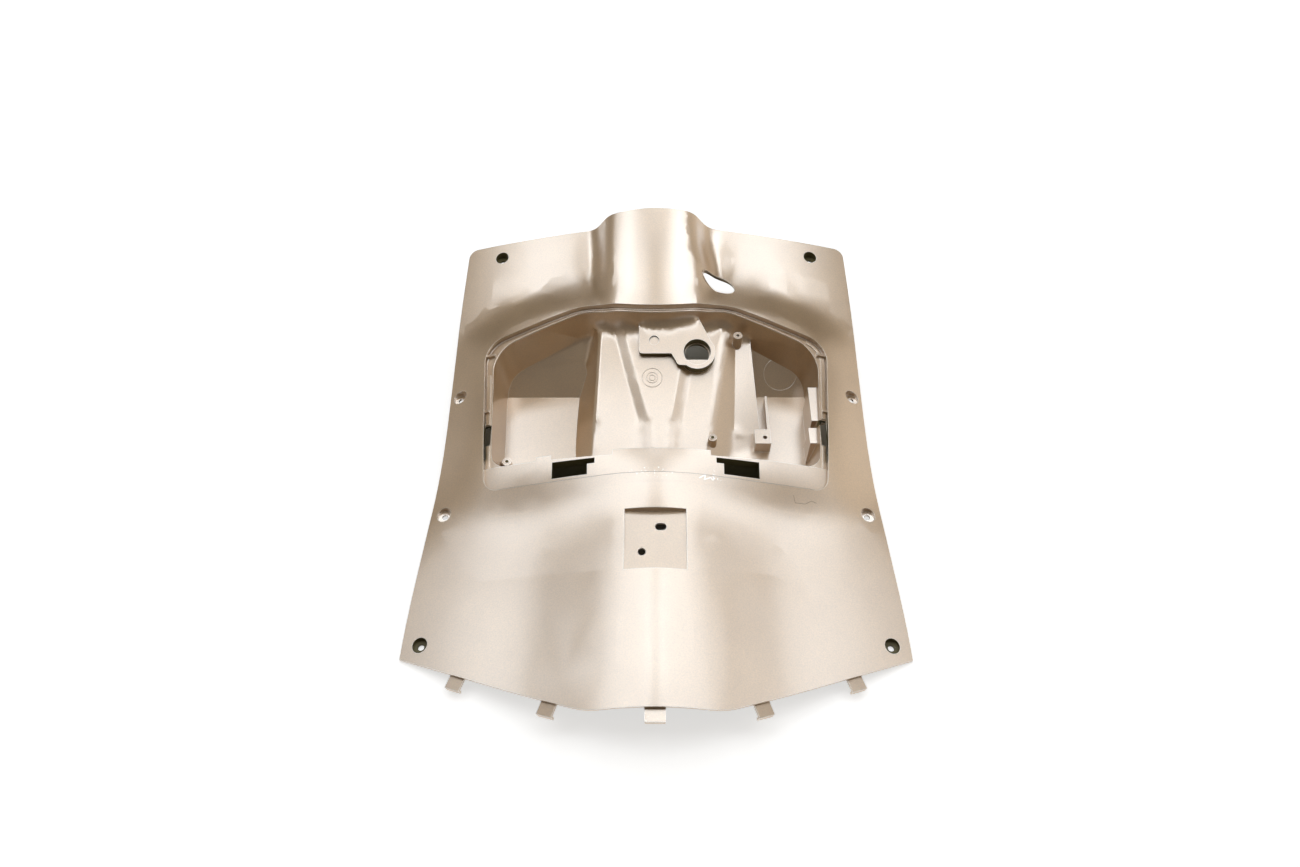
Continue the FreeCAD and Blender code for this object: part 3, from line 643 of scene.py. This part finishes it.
@dataclass(frozen=True)
class Shield:
    """The moulding itself, shown through a merged copy that takes its normals from the drawing.

    The tolerance is in the drawing's millimetres, the reach of the merge in metres and the
    sharp angle in degrees. The other limits are cosines.
    """

    node: bpy.types.Object
    paint: bpy.types.Material
    merge_reach: float = 2e-6
    skin_tolerance: float = 0.16
    skin_facing: float = 0.9
    sharp_angle: float = 24.0
    sprayed_from: float = -0.1
    sprayed_over: float = 0.12
    wall_below: float = 0.7

    def build(self) -> bpy.types.Object:
        """Make the merged copy with its normals, masks and paint.

        Returns:
            The new piece, which stands for the node.
        """
        mesh = self.node.data.copy()
        mesh.name = "leg_shield_shell"
        merged = bmesh.new()
        merged.from_mesh(mesh)
        bmesh.ops.remove_doubles(merged, verts=merged.verts, dist=self.merge_reach)
        RoofRounding().apply(merged)
        merged.to_mesh(mesh)
        merged.free()
        if "custom_normal" in mesh.attributes:
            mesh.attributes.remove(mesh.attributes["custom_normal"])
        mesh.materials.clear()
        mesh.materials.append(self.paint)
        piece = bpy.data.objects.new("painted_shell", mesh)
        bpy.context.scene.collection.objects.link(piece)
        self.shade(mesh)
        self.mask(mesh)
        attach(piece, BODY)
        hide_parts(NODE)
        LOG.info("painted_shell: %d faces", len(mesh.polygons))
        return piece

    def corners(self, mesh: bpy.types.Mesh) -> tuple[np.ndarray, np.ndarray, np.ndarray]:
        """Places and face normals of a mesh of triangles.

        Args:
            mesh: A mesh of triangles.

        Returns:
            Vertex places, corner vertex numbers by face, and face normals.
        """
        co = np.zeros(len(mesh.vertices) * 3)
        mesh.vertices.foreach_get("co", co)
        loops = np.zeros(len(mesh.loops), np.int64)
        mesh.loops.foreach_get("vertex_index", loops)
        faces = np.zeros(len(mesh.polygons) * 3)
        mesh.polygons.foreach_get("normal", faces)
        return co.reshape(-1, 3), loops.reshape(-1, 3), faces.reshape(-1, 3)

    def shade(self, mesh: bpy.types.Mesh) -> None:
        """Smooth the mesh, with the drawing's own normals on the two faces of its skin.

        A triangle lies on a face of the skin where all its corners are near that face and the
        face's normals there point nearly the way that the triangle does.
        """
        co, loops, faces = self.corners(mesh)
        x, y, z = PLAN.read(co)
        exact = SKIN.normal(x, y)
        layer = np.zeros(len(faces), np.int64)
        for number, depth, sign in (side.value for side in Layer):
            off = np.abs(z - SKIN.under(x, y, depth)) * exact[:, 2]
            near = (off < self.skin_tolerance)[loops].all(axis=1)
            facing = (sign * exact[loops] * faces[:, None, :]).sum(-1).min(axis=1) > self.skin_facing
            layer[near & facing] = number
            LOG.info("skin at depth %.1f: %d faces", depth, int((layer == number).sum()))
        self.mark_sharp(mesh, faces, layer)
        normals = np.zeros(len(mesh.loops) * 3)
        mesh.corner_normals.foreach_get("vector", normals)
        normals = normals.reshape(-1, 3, 3)
        for number, _, sign in (side.value for side in Layer):
            normals[layer == number] = sign * exact[loops[layer == number]]
        mesh.normals_split_custom_set(normals.reshape(-1, 3))

    def mark_sharp(self, mesh: bpy.types.Mesh, faces: np.ndarray, layer: np.ndarray) -> None:
        """Smooth all faces but keep an edge sharp where it bends or leaves the skin.

        The column tunnel's faces are smooth among themselves, however they bend.

        Args:
            mesh: A mesh of triangles.
            faces: Face normals.
            layer: Which face of the skin each triangle lies on, or 0.
        """
        mesh.shade_smooth()
        edges = np.zeros(len(mesh.loops), np.int64)
        mesh.loops.foreach_get("edge_index", edges)
        owner = np.repeat(np.arange(len(faces)), 3)
        order = np.argsort(edges, kind="stable")
        edges, owner = edges[order], owner[order]
        pair = edges[1:] == edges[:-1]
        one, other, edge = owner[:-1][pair], owner[1:][pair], edges[1:][pair]
        bent = (faces[one] * faces[other]).sum(-1) < math.cos(math.radians(self.sharp_angle))
        roof = np.zeros(len(faces), np.int32)
        mesh.attributes[RoofRounding.layer].data.foreach_get("value", roof)
        bent &= ~((roof[one] > 0) & (roof[other] > 0))
        sharp = np.ones(len(mesh.edges), bool)
        sharp[edge] = bent | (layer[one] != layer[other])
        mark = mesh.attributes.get("sharp_edge") or mesh.attributes.new("sharp_edge", "BOOLEAN", "EDGE")
        mark.data.foreach_set("value", sharp)
        single = len(sharp) - len(set(edge))
        LOG.info("%d edges, %d sharp, %d with one face", len(sharp), int(sharp.sum()), single)

    def mask(self, mesh: bpy.types.Mesh) -> None:
        """Say at each corner where bare plastic shows and where the paint is rubbed.

        The spray came from above, so that a face is bare once its normal points downwards.
        """
        co, loops, faces = self.corners(mesh)
        x, y, _ = PLAN.read(co[loops])
        up = np.repeat(faces[:, 2:3], 3, axis=1)
        bare = 1 - smooth((up - self.sprayed_from) / self.sprayed_over)
        middle = PLAN.read(co[loops].mean(axis=1))
        dry = DrySpots().inside(*middle, steep=np.abs(faces[:, 2]) < self.wall_below)
        bare = np.maximum(bare, dry[:, None])
        set_mask(mesh, "bare", bare)
        set_mask(mesh, "rubbed", Wear().amount(x, y))


def set_mask(mesh: bpy.types.Mesh, name: str, values: np.ndarray) -> None:
    """Keep a mask of one value for each face corner in the mesh."""
    layer = mesh.attributes.new(name, "FLOAT", "CORNER")
    layer.data.foreach_set("value", values.astype(np.float32).ravel())


@dataclass(frozen=True)
class Strand:
    """A section carried along a path, in the drawing's millimetres.

    The path has places and upward directions, and the section has places beside and above it.
    """

    path: np.ndarray
    up: np.ndarray
    section: tuple
    closed: bool = False
    bore: float = 0.0

    def surface(self) -> tuple[np.ndarray, list, np.ndarray]:
        """Points, faces and bareness of the strand.

        The section's first measure goes to the right of the path (its direction crossed with up)
        and its second upwards, in anticlockwise order, so that the faces look outwards.

        Returns:
            Points, faces as lists of point numbers, and 1 for each face nearer than `bore` to a
            closed path's middle, else 0.
        """
        ahead = np.roll(self.path, -1, axis=0) - np.roll(self.path, 1, axis=0)
        if not self.closed:
            ahead[0], ahead[-1] = self.path[1] - self.path[0], self.path[-1] - self.path[-2]
        side = np.cross(ahead, self.up)
        side = side / np.linalg.norm(side, axis=1, keepdims=True)
        rise = np.cross(side, ahead)
        rise = rise / np.linalg.norm(rise, axis=1, keepdims=True)
        across, high = np.array(self.section).T[:, None, :, None]
        points = self.path[:, None] + side[:, None] * across + rise[:, None] * high
        n, m = points.shape[:2]
        i = np.arange(n if self.closed else n - 1)[:, None]
        j = np.arange(m)[None, :]
        next_i, next_j = (i + 1) % n, (j + 1) % m
        quads = np.stack([i * m + j, next_i * m + j, next_i * m + next_j, i * m + next_j], axis=-1)
        quads, points = quads.reshape(-1, 4), points.reshape(-1, 3)
        away = np.linalg.norm(points[quads].mean(axis=1) - self.path.mean(axis=0), axis=1)
        faces = quads.tolist()
        if not self.closed:
            faces += [list(range(m)), list(range(n * m - 1, (n - 1) * m - 1, -1))]
            away = np.append(away, (np.inf, np.inf))
        return points, faces, (away < self.bore).astype(float)


def bead(radius: float, lift: float = 0.0) -> tuple:
    """Round section of a strand, its middle lifted off the path."""
    turn = np.linspace(0.0, 2 * math.pi, BEAD_POINTS, endpoint=False)
    return tuple(zip(radius * np.cos(turn), radius * np.sin(turn) + lift))


def oval(long: float, short: float, lean: float = 0.0) -> tuple[np.ndarray, np.ndarray]:
    """Points of an ellipse round the origin, from its two halves and the longer one's turn."""
    turn = np.linspace(0.0, 2 * math.pi, RING_POINTS, endpoint=False)
    u, v = long * np.cos(turn), short * np.sin(turn)
    lean = math.radians(lean)
    return u * math.cos(lean) - v * math.sin(lean), u * math.sin(lean) + v * math.cos(lean)


def ring(centre: tuple, radius: float, slope: float, section: tuple, bore: float = 0.0) -> Strand:
    """Closed strand round a centre, on a plane that climbs with y.

    Args:
        centre: Middle of the ring on the drawing.
        radius: Its radius.
        slope: The plane's slope in degrees.
        section: The strand's section.
        bore: Radius inside which bare plastic shows, a dark disc that also stands as painted shade for a
            hollow.

    Returns:
        The strand.
    """
    x, w = oval(radius, radius)
    tilt = math.radians(slope)
    path = np.array(centre, float) + np.stack([x, w * math.cos(tilt), w * math.sin(tilt)], axis=-1)
    up = np.broadcast_to((0.0, -math.sin(tilt), math.cos(tilt)), path.shape)
    return Strand(path, up, section, closed=True, bore=bore)


@dataclass(frozen=True)
class Opening:
    """Edge of the glovebox's opening, the ledge inside it and the edge of the tub's wall.

    Both outlines are given by their left half, from the seam to the middle line, each corner
    by x, y and its radius.
    """

    edge: tuple = ((-140.7, 130.0), (-152.5, 272.6, 24.0), (-61.0, 307.0, 60.0), (0.0, 295.5, 120.0))
    wall: tuple = ((-142.0, 145.5), (-149.5, 271.5, 34.0), (-62.0, 305.0, 40.0), (0.0, 293.5, 100.0))
    depth: float = 5.5
    draft: float = 0.14
    draft_from: float = 80.0
    step: float = 2.0

    def on_ledge(self, line: np.ndarray, section: tuple) -> Strand:
        """Strand that lies on the ledge along a plan line."""
        x, y = line.T
        return Strand(np.column_stack([line, SKIN.under(x, y, self.depth)]), SKIN.normal(x, y), section)

    def outline(self, half: tuple) -> np.ndarray:
        """Points of a whole outline from the corners of its left half."""
        mirrored = tuple((-x, *rest) for x, *rest in half[-2::-1])
        return rounded(half + mirrored, self.step)

    def from_edge(self, by: float) -> np.ndarray:
        """Plan line at a distance inside the opening's edge."""
        return inset(self.outline(self.edge), by)

    def from_wall(self, by: float) -> np.ndarray:
        """Plan line at a distance outside the tub's wall, which draws in as it goes down."""
        line = self.outline(self.wall)
        drawn = self.draft * (self.draft_from - SKIN.under(line[:, 0], line[:, 1], self.depth))
        return inset(line, drawn - by)


@dataclass(frozen=True)
class Trims:
    """Small raised work of the moulding that the solid leaves out, one piece for each kind.

    Places and sizes are the drawing's, in millimetres, and slopes, turn and angle are degrees.
    The lip and the pads are given by the two places on the plan between which they run.
    """

    lip: tuple = ((-144.0, 235.0), (133.5, 274.5))
    lip_radius: float = 0.55
    lip_lift: float = 0.3
    lip_from_edge: float = 1.2
    lip_from_wall: float = 0.5
    pads: tuple = (
        ((-140.0, 191.5), (-144.0, 245.0)), ((133.5, 274.5), (146.4, 198.0)),
        ((-137.0, 150.0), (-139.0, 173.0)), ((139.0, 173.0), (137.0, 150.0)),
    )
    pad: tuple = ((-2.0, -0.4), (2.0, -0.4), (1.8, 0.8), (-1.8, 0.8))
    pad_inset: float = 3.1
    posts: tuple = ((49.3, 191.6, 25.0), (-129.2, 174.6, 13.0))
    post_radius: float = 1.0
    # Inside this radius the eyelet is a flat disc of bare plastic, partly real and partly painted shade for
    # the bore's hollow.
    post_bore: float = 1.45
    post_section: tuple = ((-0.98, -0.3), (1.25, -0.3), (1.15, 0.3), (0.55, 0.3), (0.42, 0.05), (-0.98, 0.05))
    stamp: tuple = (-3.1, 247.0, 38.55)
    stamp_radii: tuple = (8.9, 4.9, 2.6)
    stamp_bead: float = 0.32
    stamp_slope: float = 17.0
    gate: tuple = (114.7, 269.4, 15.5)
    gate_radius: float = 15.1
    gate_bead: float = 0.3
    gate_slope: float = 37.0
    pilot: tuple = (-1.4, 277.86, 52.65)
    pilot_radius: float = 2.1
    pilot_section: tuple = ((-2.08, -0.6), (2.2, -0.6), (2.2, 0.0), (-2.08, 0.0))
    pilot_slope: float = 18.0
    key: tuple = (57.5, 331.5)
    key_halves: tuple = (15.9, 9.4)
    key_turn: float = -27.0
    key_bead: float = 0.55
    key_sink: float = 0.1
    sharp_angle: float = 40.0

    def groups(self) -> dict[str, list[Strand]]:
        """Strands of each piece by its name."""
        opening = Opening()
        lip = bead(self.lip_radius, self.lip_lift)
        lip_lines = opening.from_edge(self.lip_from_edge), opening.from_wall(self.lip_from_wall)
        pad_line = opening.from_edge(self.pad_inset)
        stamp = bead(self.stamp_bead)
        return {
            "seal_lip": [opening.on_ledge(between(line, *self.lip), lip) for line in lip_lines],
            "ledge_pads": [opening.on_ledge(between(pad_line, *ends), self.pad) for ends in self.pads],
            # Each eyelet's dark middle is bare plastic and painted shade standing for a bore.
            "post_bores": [
                ring(place, self.post_radius, 0.0, self.post_section, self.post_bore) for place in self.posts
            ],
            "stamp_rings": [ring(self.stamp, radius, self.stamp_slope, stamp) for radius in self.stamp_radii],
            "gate_ring": [ring(self.gate, self.gate_radius, self.gate_slope, bead(self.gate_bead))],
            "pilot_floor": [ring(self.pilot, self.pilot_radius, self.pilot_slope, self.pilot_section)],
            "key_rim": [self.key_rim()],
        }

    def key_rim(self) -> Strand:
        """Thin bead round the key hole, laid on the painted face."""
        x, y = oval(*self.key_halves, self.key_turn)
        x, y = x + self.key[0], y + self.key[1]
        path = np.column_stack([x, y, SKIN.height(x, y) - self.key_sink])
        return Strand(path, SKIN.normal(x, y), bead(self.key_bead), closed=True)

    def build(self, paint: bpy.types.Material) -> None:
        """Make each piece from its strands."""
        for name, strands in self.groups().items():
            points, faces, bare, first = [], [], [], 0
            for strand in strands:
                own, own_faces, own_bare = strand.surface()
                points.append(own)
                faces += [[first + number for number in face] for face in own_faces]
                bare.append(own_bare)
                first += len(own)
            self.make(name, np.concatenate(points), faces, np.concatenate(bare), paint)

    def make(self, name: str, points: np.ndarray, faces: list, bare: np.ndarray, paint: object) -> None:
        """Make one piece, with bare plastic on some of its faces.

        Args:
            name: The piece's name.
            points: Its points in the drawing's millimetres.
            faces: Point numbers of each face.
            bare: 1 for each face that is bare plastic, else 0.
            paint: The material.
        """
        mesh = bpy.data.meshes.new(name)
        mesh.from_pydata(PLAN.place(*points.T).tolist(), [], faces)
        mesh.materials.append(paint)
        mesh.shade_smooth()
        mesh.set_sharp_from_angle(angle=math.radians(self.sharp_angle))
        corners = np.zeros(len(mesh.polygons), np.int64)
        mesh.polygons.foreach_get("loop_total", corners)
        set_mask(mesh, "bare", np.repeat(bare, corners))
        piece = bpy.data.objects.new(name, mesh)
        bpy.context.scene.collection.objects.link(piece)
        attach(piece, BODY)
        LOG.info("%s: %d faces", name, len(mesh.polygons))


@dataclass(frozen=True)
class RoofRounding:
    """Rounds the column tunnel inside the tub, whose roof and flanks the solid has as flat facets.

    The seed hangs over the tunnel's roof, and the box on the plan holds the whole tunnel.
    Edges over the longest length, in millimetres, are halved, and a fold of more than the
    given degrees ends the tunnel.
    """

    seed: tuple = (-3.0, 235.0, 150.0)
    box_x: tuple = (-84.0, 102.0)
    box_y: tuple = (139.0, 313.0)
    least_up: float = 0.05
    fold: float = 66.0
    longest: float = 5.0
    passes: int = 9
    rounds: int = 14
    pull: float = 0.5
    layer: str = "roof"

    def apply(self, shell: bmesh.types.BMesh) -> None:
        """Cut the tunnel's faces finer and even out the points between them.

        Each round pulls a point a share of the way to the mean of its neighbours. Points that
        other faces share stay where they are.

        Args:
            shell: The merged copy of the moulding.
        """
        tag = shell.faces.layers.int.new(self.layer)
        for face in self.found(shell):
            face[tag] = 1
        for _ in range(self.passes):
            long = [e for e in shell.edges if e.calc_length() > self.longest * MM]
            long = [e for e in long if any(f[tag] for f in e.link_faces)]
            if not long:
                break
            bmesh.ops.subdivide_edges(shell, edges=long, cuts=1)
            bmesh.ops.triangulate(shell, faces=[f for f in shell.faces if len(f.verts) > 3])
        inner = [v for v in shell.verts if v.link_faces and all(f[tag] for f in v.link_faces)]
        for _ in range(self.rounds):
            bmesh.ops.smooth_vert(
                shell, verts=inner, factor=self.pull, use_axis_x=True, use_axis_y=True, use_axis_z=True
            )

    def found(self, shell: bmesh.types.BMesh) -> set:
        """Faces joined to the one under the seed by folds that aren't steep, inside the box."""
        shell.normal_update()
        shell.faces.ensure_lookup_table()
        start = Vector(PLAN.place(*(np.array(v) for v in self.seed)))
        hit = BVHTree.FromBMesh(shell).ray_cast(start, Vector((0.0, 0.0, -1.0)))
        first = shell.faces[hit[2]]
        found, unread = {first}, [first]
        limit = math.cos(math.radians(self.fold))
        while unread:
            face = unread.pop()
            for other in (f for e in face.edges for f in e.link_faces):
                if other not in found and face.normal.dot(other.normal) > limit and self.holds(other):
                    found.add(other)
                    unread.append(other)
        LOG.info("tunnel: %d faces", len(found))
        return found

    def holds(self, face: bmesh.types.BMFace) -> bool:
        """Whether a face looks up or sideways and its middle lies in the box."""
        x, y, _ = PLAN.read(np.array(face.calc_center_median()))
        in_box = self.box_x[0] < x < self.box_x[1] and self.box_y[0] < y < self.box_y[1]
        return in_box and face.normal.z > self.least_up


@dataclass(frozen=True)
class DrySpots:
    """Places that the spray didn't reach: hinge cut-outs, clip slots and the outermost screw seats.

    Each is given for one side, in the drawing's millimetres, and stands for both.
    """

    hinge_x: tuple = (46.5, 86.5)
    hinge_y: tuple = (131.0, 148.6)
    slot_x: tuple = (139.0, 146.2)
    slot_y: tuple = (158.0, 199.0)
    screw_pairs: tuple = ((181.4, 9.8), (145.4, 371.5))
    screw_radius: float = 6.3
    screw_depth: float = 0.6

    def inside(self, x: np.ndarray, y: np.ndarray, z: np.ndarray, steep: np.ndarray) -> np.ndarray:
        """Find the faces on which bare plastic shows.

        Args:
            x: Distance of each face from the middle line.
            y: Distance from the foot of the bottom corners.
            z: Height of each face on the drawing.
            steep: Whether each face is a wall rather than a floor.

        Returns:
            1 for each face that is bare, else 0.
        """
        a = np.abs(x)
        found = np.zeros(len(x), bool)
        for (x0, x1), (y0, y1) in ((self.hinge_x, self.hinge_y), (self.slot_x, self.slot_y)):
            found |= steep & (a > x0) & (a < x1) & (y > y0) & (y < y1)
        low = z < SKIN.height(x, y) - self.screw_depth
        for px, py in self.screw_pairs:
            found |= low & (np.hypot(a - px, y - py) < self.screw_radius)
        return found.astype(float)


@dataclass(frozen=True)
class Wear:
    """Rubbed places: chips on the seam over the lid seat, and the tips of the front hooks.

    Each chip has its middle, its half sizes along x and y, and its most.
    """

    chips: tuple = ((45.0, 129.5, 7.0, 2.0, 0.4), (-4.0, 130.0, 20.0, 0.8, 0.30))
    chip_core: float = 0.5
    hooks_y: float = -55.0
    hooks_reach: float = 4.0
    hooks_amount: float = 0.15

    def amount(self, x: np.ndarray, y: np.ndarray) -> np.ndarray:
        """How far the paint is worn, from 0 to 1, as soft ovals round each place.

        The distance from an oval's middle is counted in its half sizes. The wear is at its most
        inside the core and eases to nothing one half size further out.

        Args:
            x: Distance of each place from the middle line.
            y: Distance from the foot of the bottom corners.

        Returns:
            The wear at each place.
        """
        worn = self.hooks_amount * (1 - smooth((y - self.hooks_y) / self.hooks_reach))
        for px, py, long, short, most in self.chips:
            away = np.hypot((x - px) / long, (y - py) / short)
            worn = np.maximum(worn, most * (1 - smooth(away - self.chip_core)))
        return worn


@dataclass(frozen=True)
class Studio:
    """Pale floor, soft lamps and the camera at the photographed angle.

    The camera's place is the drawing's, in millimetres, and its angles are degrees. Each lamp
    has its name, its place and size in metres, and its radiance.
    """

    camera_place: tuple = (2.74, -252.35, 666.27)
    elevation: float = 55.047
    azimuth: float = -0.982
    roll: float = -0.846
    focal_px: float = 900.0
    frame_px: float = 1300.0
    sensor: float = 36.0
    floor_half: float = 6.0
    lamps: tuple = (
        ("softbox_left", (-0.48, 0.52, 1.0), (0.28, 0.32), 2.0),
        ("softbox_right", (0.43, 0.51, 1.0), (0.34, 0.32), 2.0),
        ("softbox_near", (0.0, 0.04, 1.0), (0.34, 0.22), 2.1),
        ("ceiling_left", (-1.20, 0.36, 2.2), (1.90, 1.00), 1.95),
        ("ceiling_right", (1.20, 0.36, 2.2), (1.90, 1.00), 1.90),
        ("ceiling_far_left", (-0.66, 1.60, 2.2), (0.72, 0.80), 2.05),
        ("ceiling_far_right", (0.66, 1.60, 2.2), (0.72, 0.80), 2.05),
        ("ceiling_middle", (0.0, 1.02, 2.2), (0.30, 0.36), 3.6),
    )
    lamp_colour: tuple = (0.965, 0.985, 1.0)
    fill_near: float = 0.13
    fill_far: float = 0.10
    fill_turn: tuple = (-0.3, 0.6)
    fill_left: float = 0.26
    fill_right: float = 0.72
    fill_sides: tuple = (0.55, 0.90)
    fill_colour: tuple = (1.0, 0.87, 0.72, 1.0)
    floor_colour: tuple = (0.82, 0.83, 0.84, 1.0)
    floor_sink: float = 0.0005
    floor_glow: float = 0.62
    # Rectangle under the shield where the floor's glow stops, painting shade there.
    painted_shade_footprint: tuple = (0.165, 0.175, 0.010)
    painted_shade_edge: tuple = (0.97, 1.03)

    def build(self) -> None:
        """Make floor, world, lamps and camera."""
        self.make_floor()
        self.make_world()
        for name, place, size, radiance in self.lamps:
            self.make_lamp(name, place, size, radiance)
        self.make_camera()

    def make_floor(self) -> None:
        """Make the plain white floor, which keeps the shield's soft shadow and stays dim under it.

        Its glow for the camera ends at a rectangle under the shield, painting shade there that holes
        in the shield show dark: the larger of |x| and |y - middle|, each over its half size, is
        stepped from dim to full at 1.
        """
        h = self.floor_half
        mesh = bpy.data.meshes.new("floor")
        mesh.from_pydata([(-h, -h, 0), (h, -h, 0), (h, h, 0), (-h, h, 0)], [], [(0, 1, 2, 3)])
        floor = bpy.data.objects.new("floor", mesh)
        bpy.context.scene.collection.objects.link(floor)
        floor.location.z = -self.floor_sink
        material = bpy.data.materials.new("floor_white")
        material.use_nodes = True
        material.node_tree.nodes.clear()
        g = Graph(material.node_tree)
        path = g.add("LightPath").outputs
        mirrored = g.math("MAXIMUM", path["Is Glossy Ray"], path["Is Transmission Ray"])
        seen = g.math("MAXIMUM", path["Is Camera Ray"], mirrored)
        half_x, half_y, middle = self.painted_shade_footprint
        spot = g.add("SeparateXYZ", Vector=g.add("TexCoord").outputs["Object"]).outputs
        across = g.math("DIVIDE", g.math("ABSOLUTE", spot["X"]), half_x)
        along_y = g.math("DIVIDE", g.math("ABSOLUTE", g.math("SUBTRACT", spot["Y"], middle)), half_y)
        outside_painted_shade = g.ramp(g.math("MAXIMUM", across, along_y), *self.painted_shade_edge)
        lit = g.math("MULTIPLY", g.math("MULTIPLY", seen, outside_painted_shade), self.floor_glow)
        matt = g.add("BsdfDiffuse", Color=self.floor_colour)
        glow = g.add("Emission", Color=WHITE, Strength=lit)
        both = g.add("AddShader", i0=matt.outputs[0], i1=glow.outputs[0])
        out = g.add("OutputMaterial")
        g.tree.links.new(both.outputs[0], out.inputs["Surface"])
        mesh.materials.append(material)

    def make_world(self) -> None:
        """White to the camera, and for the rest a warm dim room that is brighter at the sides."""
        world = bpy.data.worlds.new("studio_white")
        world.use_nodes = True
        world.node_tree.nodes.clear()
        g = Graph(world.node_tree)
        path = g.add("LightPath").outputs
        seen = g.math("MAXIMUM", path["Is Camera Ray"], path["Is Transmission Ray"])
        way = g.add("SeparateXYZ", Vector=g.add("TexCoord").outputs["Generated"]).outputs
        fill = g.blend(g.ramp(way["Y"], *self.fill_turn), self.fill_near, self.fill_far)
        left = g.ramp(g.math("MULTIPLY", way["X"], -1.0), *self.fill_sides)
        right = g.ramp(way["X"], *self.fill_sides)
        left = g.math("MULTIPLY", left, self.fill_left)
        right = g.math("MULTIPLY", right, self.fill_right)
        strength = g.math("MAXIMUM", seen, g.math("ADD", fill, g.math("ADD", left, right)))
        colour = g.mix(seen, self.fill_colour, WHITE)
        sky = g.add("Background", Color=colour, Strength=strength)
        out = g.add("OutputWorld")
        g.tree.links.new(sky.outputs[0], out.inputs["Surface"])
        bpy.context.scene.world = world

    def make_lamp(self, name: str, place: tuple, size: tuple, radiance: float) -> None:
        """One rectangular soft lamp that hangs level."""
        light = bpy.data.lights.new(name, "AREA")
        light.shape = "RECTANGLE"
        light.size, light.size_y = size
        light.energy = radiance * math.pi * size[0] * size[1]
        light.color = self.lamp_colour
        lamp = bpy.data.objects.new(name, light)
        lamp.location = place
        bpy.context.scene.collection.objects.link(lamp)

    def make_camera(self) -> None:
        """Camera solved from the screw seats' places in the photograph."""
        az, el, roll = (math.radians(v) for v in (self.azimuth, self.elevation, self.roll))
        ahead = Vector((math.sin(az) * math.cos(el), math.cos(az) * math.cos(el), -math.sin(el)))
        level = Vector((math.cos(az), -math.sin(az), 0.0))
        up = level.cross(ahead)
        right = level * math.cos(roll) + up * math.sin(roll)
        up = right.cross(ahead)
        data = bpy.data.cameras.new("camera")
        data.sensor_width = self.sensor
        data.lens = self.focal_px / self.frame_px * self.sensor
        data.clip_start = 0.01
        camera = bpy.data.objects.new("camera", data)
        turn = Matrix((right, up, -ahead)).transposed().to_4x4()
        spot = PLAN.place(*(np.array(v) for v in self.camera_place))
        camera.matrix_world = Matrix.Translation(Vector(spot)) @ turn
        bpy.context.scene.collection.objects.link(camera)
        bpy.context.scene.camera = camera


def main() -> None:
    """Build the shield's looks and its studio."""
    logging.basicConfig(level=logging.INFO, format="%(name)s %(message)s")
    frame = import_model()
    bpy.context.scene.view_settings.view_transform = "Standard"
    effects = SharedEffects()
    paint = PaintFinish().material(effects)
    Shield(frame["nodes"][NODE], paint).build()
    Trims().build(paint)
    Studio().build()


if __name__ == "__main__":
    main()
